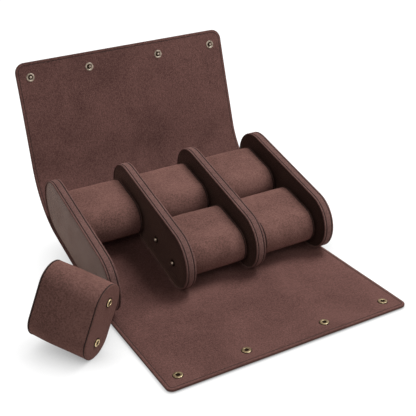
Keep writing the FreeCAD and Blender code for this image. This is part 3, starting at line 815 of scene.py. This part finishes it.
for number in range(1, 5):
    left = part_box(f"divider_{number}_rim")[0].x
    band = new_piece(f"divider_{number}_band", make_band(left), [rim_suede, pressed_rim_painted_shade])
    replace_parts(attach(band, "base"), f"divider_{number}_rim")
    faces, threads = bmesh.new(), bmesh.new()
    for side, face_x, seam_x in (
        (-1, FACE_AT, BAND_SEAM),
        (1, BAND_WIDE - FACE_AT, BAND_WIDE - BAND_SEAM),
    ):
        panel = make_face_panel(side)
        bmesh.ops.translate(panel, vec=(face_x, 0, 0), verts=panel.verts)
        stand(panel, left)
        add_to(faces, panel)
        seam = line_round(0, STRAIGHT, ROUND - BAND_THREAD_SUNK, BAND_PITCH)
        for place, way, out in seam:
            sew(threads, place + Vector((seam_x, 0, 0)), way, out, BAND_STITCH, BAND_THREAD)
    stand(threads, left)
    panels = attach(new_piece(f"divider_{number}_panels", faces, [divider_leather]), "base")
    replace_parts(panels, f"divider_{number}_faces")
    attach(new_piece(f"divider_{number}_thread", threads, [band_thread]), "base")
    core = frame["nodes"][f"divider_{number}_core"]
    core.data.materials.clear()
    core.data.materials.append(board)

# ---------------------------------------------------------------- divider studs
# Two small brass studs on the right wall of each compartment, for a cushion's
# sockets to click over: a thin flange, a waist and a round head.

STUD_UP = (-0.01885, 0.01885)
ROW_IN, ROW_RISE = 0.0172, -0.0035
STUD = ((0.0035, 0.0), (0.0035, 0.0003), (0.0032, 0.0006), (0.0021, 0.0006))
STUD += ((0.00165, 0.0008), (0.00150, 0.0013), (0.00185, 0.0018), (0.0017, 0.0021))
STUD += ((0.0010, 0.0023), (0.0, 0.0024))
# the flange round the head is coloured near black: painted shadow
STUD_FLANGE_SHADE = ((0.0019, 0.0040),)
stud_bed = bmesh.new()
for number in (2, 3, 4):
    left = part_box(f"divider_{number}_rim")[0].x
    for row in (ROW_IN, STRAIGHT - ROW_IN):
        for rise in STUD_UP:
            place = Vector((left, row + rise, ROW_RISE))
            turned(stud_bed, STUD, place, (-1, 0, 0), STUD_FLANGE_SHADE)
stand(stud_bed, 0)
stud_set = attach(new_piece("divider_stud_set", stud_bed, [pale_brass, patina_and_shade_brass]), "base")
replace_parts(stud_set, "divider_studs")

# ---------------------------------------------------------------- cushions
# Six foam cushions in suede sleeves that a closed watch strap goes round. Each
# sleeve is sewn to an end panel at both ends; the right one has two ring sockets.

SPAN, DEPTH, LONG = 0.073, 0.040, 0.0610
HALF_RUN = (SPAN - DEPTH) / 2
OVAL_ARC, OVAL_RUN = 30, 12
CROWN, ROLLED, ROLL_WIDE, SHRINK = 0.0004, 0.0014, 0.0012, 0.0006
SLEEVE_HALF = 0.0291
SLEEVE_STATIONS = [n * 0.002 for n in range(14)]
SLEEVE_STATIONS += [0.0273, 0.0279, 0.0283, 0.0286, 0.0289, SLEEVE_HALF]
CLOTH_FRAMES, CLOTH_PRESSURE, SWELL_MOST = 16, 3.0, 0.0012
CLOTH_QUALITY, CLOTH_STIFF = 6, 30
HELD_FROM, HELD_FULLY = 0.0045, 0.0012


def drawn_in(x):
    """How far the sleeve lies inside its full section, x metres from its middle."""
    edge = max(0.0, 1 - (SLEEVE_HALF - abs(x)) / ROLL_WIDE)
    return CROWN * (abs(x) / SLEEVE_HALF) ** 3 + ROLLED * edge**2


def sleeve_form():
    """The sleeve, closed at both ends, before its foam fills it."""
    form = bmesh.new()
    points = []
    for x in [-x for x in reversed(SLEEVE_STATIONS[1:])] + SLEEVE_STATIONS:
        radius = DEPTH / 2 - SHRINK - drawn_in(x)
        points.append(form.verts.new((x, -HALF_RUN, -radius)))
    edges = [form.edges.new(pair) for pair in zip(points, points[1:])]
    go_round(form, points + edges, -HALF_RUN, HALF_RUN, OVAL_ARC, OVAL_RUN)
    bmesh.ops.holes_fill(form, edges=[e for e in form.edges if e.is_boundary])
    bmesh.ops.recalc_face_normals(form, faces=form.faces)
    return form


def fill_with_foam(form):
    """Lets the foam press the sleeve out between its sewn ends, by cloth simulation."""
    trial = bpy.data.objects.new("sleeve_trial", bpy.data.meshes.new("sleeve_trial"))
    form.to_mesh(trial.data)
    bpy.context.scene.collection.objects.link(trial)
    ends = trial.vertex_groups.new(name="sewn")
    for vert in trial.data.vertices:
        hold = smooth(SLEEVE_HALF - HELD_FROM, SLEEVE_HALF - HELD_FULLY, abs(vert.co.x))
        if hold > 0:
            ends.add([vert.index], hold, "REPLACE")
    cloth = trial.modifiers.new("foam", "CLOTH").settings
    cloth.use_pressure = True
    cloth.uniform_pressure_force = CLOTH_PRESSURE
    cloth.vertex_group_mass = "sewn"
    cloth.effector_weights.gravity = 0
    cloth.quality = CLOTH_QUALITY
    cloth.tension_stiffness = cloth.compression_stiffness = CLOTH_STIFF
    scene = bpy.context.scene
    scene.frame_start, scene.frame_end = 1, CLOTH_FRAMES
    for number in range(1, CLOTH_FRAMES + 1):
        scene.frame_set(number)
    swollen = trial.evaluated_get(bpy.context.evaluated_depsgraph_get()).to_mesh()
    ended = [v.co.copy() for v in swollen.vertices]
    scene.frame_set(1)
    for vert, after in zip(form.verts, ended):
        move = after - vert.co
        if move.length > SWELL_MOST:
            move *= SWELL_MOST / move.length
        vert.co += move
    bpy.data.objects.remove(trial)


CUSHION_DEEP, CUSHION_PALE = (0.056, 0.0235, 0.019), (0.254, 0.127, 0.106)
# the end panels' suede is coloured darker than the sleeve's: painted shade
PANEL_SHADE_DEEP, PANEL_SHADE_PALE = (0.052, 0.022, 0.018), (0.180, 0.087, 0.073)
cushion_suede = suede("cushion_suede", CUSHION_DEEP, CUSHION_PALE, 1.2)
panel_suede_painted_shade = suede("panel_suede_painted_shade", PANEL_SHADE_DEEP, PANEL_SHADE_PALE, 0.9)
seam_thread = thread_finish("seam_thread", (0.020, 0.008, 0.006))
form = sleeve_form()
fill_with_foam(form)
bmesh.ops.subdivide_edges(form, edges=form.edges[:], cuts=1, use_grid_fill=True, smooth=0.6)
sleeve_mesh = bpy.data.meshes.new("sleeve_master")
form.to_mesh(sleeve_mesh)
form.free()
# the second value is how far into each end seam the sleeve is coloured darker as painted shade
SEAM_SUNK, SEAM_SHADE_REACH = 0.00110, 0.0009
PUCKER, PUCKERS, PUCKER_REACH = 0.00018, 46, 0.004
DRIFT, DRIFT_SCALE = 3, 4
UNEVEN, UNEVEN_SCALE = 0.00045, 38
SEED_ALONG, SEED_ACROSS = 7.3, 2.9
OVAL_STRETCH = 1.6


def gathered(point, seed):
    """Unevenness of foam and the gathers along the two end seams."""
    off = max(0.0, SLEEVE_HALF - abs(point.x))
    elsewhere = Vector((seed * SEED_ALONG, seed * SEED_ACROSS, 0))
    soft = UNEVEN * noise.noise(point * UNEVEN_SCALE + elsewhere)
    angle = math.atan2(point.z * OVAL_STRETCH, point.y)
    drift = DRIFT * noise.noise(Vector((angle * DRIFT_SCALE, seed, 0)))
    fold = PUCKER * math.sin(angle * PUCKERS + drift)
    return soft * smooth(0, PUCKER_REACH, off) + fold * math.exp(-off / PUCKER_REACH)


PANEL_EDGE = ((-0.0003, -0.0024), (0.0, -0.0015), (0.0002, -0.0010), (0.0005, -0.00075))
PANEL_EDGE += ((0.0008, -0.0009), (0.0010, -0.0013), (0.00115, -0.0019), (0.00125, -0.0028))
# panel faces inward of the first value take the darker suede: painted shade at the seam
PANEL_SHADE_FROM, PANEL_OUT = 0.0002, 0.001
PANEL_PADDING = ((0.0015, 0.00006), (0.004, 0.00008), (0.004, 0.0))


def make_end_panel(side):
    """An end panel: a padded oval whose edge is turned in to the seam."""
    panel = bmesh.new()
    points = [panel.verts.new((x, -HALF_RUN, -(DEPTH / 2 + r))) for x, r in PANEL_EDGE]
    edges = [panel.edges.new(pair) for pair in zip(points, points[1:])]
    go_round(panel, points + edges, -HALF_RUN, HALF_RUN, OVAL_ARC, OVAL_RUN)
    bmesh.ops.holes_fill(panel, edges=[e for e in panel.edges if e.is_boundary])
    bmesh.ops.recalc_face_normals(panel, faces=panel.faces)
    panel.normal_update()
    # faces turned in to the seam take the darker suede: painted shade
    for face in panel.faces:
        face.material_index = int(face.calc_center_median().x < PANEL_SHADE_FROM)
    outer = [f for f in panel.faces if f.calc_center_median().x > PANEL_OUT]
    top = max(outer, key=lambda f: f.calc_area())
    for thick, deep in PANEL_PADDING:
        inset(panel, top, thick, deep)
    bmesh.ops.translate(panel, vec=(SLEEVE_HALF, 0, 0), verts=panel.verts)
    if side < 0:
        mirror_piece(panel)
    return panel


RING = ((0.0045, -0.0002), (0.0045, 0.0002), (0.0043, 0.0003), (0.0039, 0.0003))
RING += ((0.0038, 0.0007), (0.0035, 0.0011), (0.0030, 0.00135), (0.0025, 0.00125))
RING += ((0.0021, 0.0009), (0.0019, 0.0003), (0.0018, 0.0001), (0.0, 0.0001))
# the socket's hole and the flange round its ring are coloured near black: patina and painted shade
# in the hole, painted shadow round the ring
SOCKET_HOLE_AND_SHADOW = ((0.0, 0.0020), (0.0038, 0.0050))
END_PITCH, END_STITCH, END_THREAD = 0.0024, 0.0027, 0.00050
LOOSE_TURN, LOOSE_DIP, LOOSE_LEAN = math.radians(-55), math.radians(11.5), math.radians(67)
FOAM_FILL, END_SLACK = 0.9, 1e-5

seated = Matrix.Rotation(TILT, 4, "X")
loose = Matrix.Rotation(LOOSE_TURN, 4, "Z") @ Matrix.Rotation(LOOSE_DIP, 4, "Y")
loose = loose @ Matrix.Rotation(LOOSE_LEAN, 4, "X")
cushions = ("rear_left", "front_middle", "rear_middle", "front_right", "rear_right", "loose")
for seed, where in enumerate(cushions):
    name = f"cushion_{where}"
    low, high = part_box(f"{name}_sleeve")
    place = Matrix.Translation((low + high) / 2) @ (loose if where == "loose" else seated)
    sleeve = bmesh.new()
    sleeve.from_mesh(sleeve_mesh)
    sleeve.normal_update()
    # sleeve faces rolled into the end seams take the darker suede: painted shade
    for face in sleeve.faces:
        face.material_index = int(abs(face.calc_center_median().x) > SLEEVE_HALF - SEAM_SHADE_REACH)
    for vert in sleeve.verts:
        if abs(vert.co.x) < SLEEVE_HALF - END_SLACK:
            vert.co += vert.normal * gathered(vert.co, seed)
    ends, seams, rings = bmesh.new(), bmesh.new(), bmesh.new()
    for side in (-1, 1):
        add_to(ends, make_end_panel(side))
        off = Vector((side * SLEEVE_HALF, 0, 0))
        for point, way, out in line_round(-HALF_RUN, HALF_RUN, DEPTH / 2 - SEAM_SUNK, END_PITCH):
            sew(seams, point + off, way, out, END_STITCH, END_THREAD)
    for rise in STUD_UP:
        turned(rings, RING, Vector((LONG / 2, rise, 0)), (1, 0, 0), SOCKET_HOLE_AND_SHADOW)
    pieces = (
        ("sleeve", sleeve, [cushion_suede, pressed_rim_painted_shade], "cushion_suede"),
        ("panels", ends, [panel_suede_painted_shade, pressed_rim_painted_shade], "cushion_suede"),
        ("sockets", rings, [rubbed_brass, patina_and_shade_brass], "antique_brass"),
        ("seams", seams, [seam_thread], None),
    )
    for word, mesh, materials, slot in pieces:
        bmesh.ops.transform(mesh, matrix=place, verts=mesh.verts)
        for vert in mesh.verts:
            vert.co.z = max(0.0, vert.co.z)
        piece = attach(new_piece(f"{where}_{word}", mesh, materials), name)
        if slot:
            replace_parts(piece, f"{name}_{word}")
        word in ("sleeve", "panels")
bpy.data.meshes.remove(sleeve_mesh)
